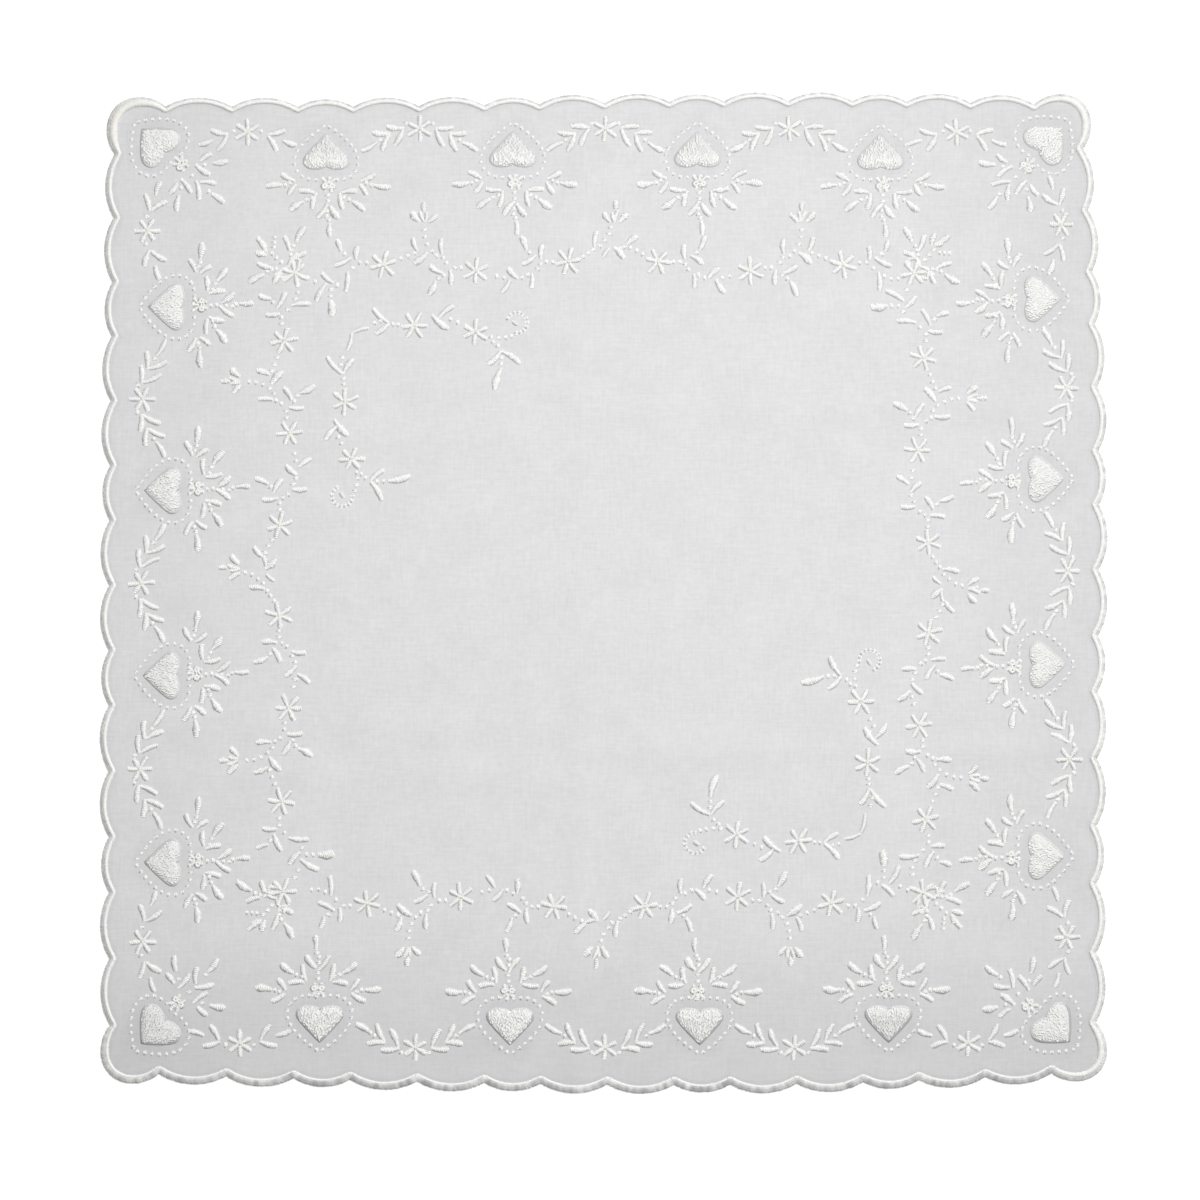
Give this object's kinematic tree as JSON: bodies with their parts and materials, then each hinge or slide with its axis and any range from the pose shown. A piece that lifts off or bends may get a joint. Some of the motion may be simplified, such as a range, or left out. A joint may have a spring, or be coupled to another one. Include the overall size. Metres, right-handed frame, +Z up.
{
  "type": "embroidered handkerchief",
  "caption": "Square white lawn handkerchief with a scalloped satin-stitched edge and a white embroidered border of hearts, leaf sprays, star flowers and beaded garlands, opened out flat.",
  "frame": {"origin": "centre of the cloth's box, on the surface it lies on", "axes": "+Z up out of the cloth's face, +Y towards the far edge, +X to the right"},
  "size_m": [0.3034, 0.3018, 0.0016],
  "materials": {
    "white_lawn": "fine plain-weave cotton lawn, matt, slightly sheer",
    "white_thread": "white embroidery thread with a soft silky sheen"
  },
  "bodies": {
    "root": {"cloth": "white_lawn"}
  },
  "joints": []
}
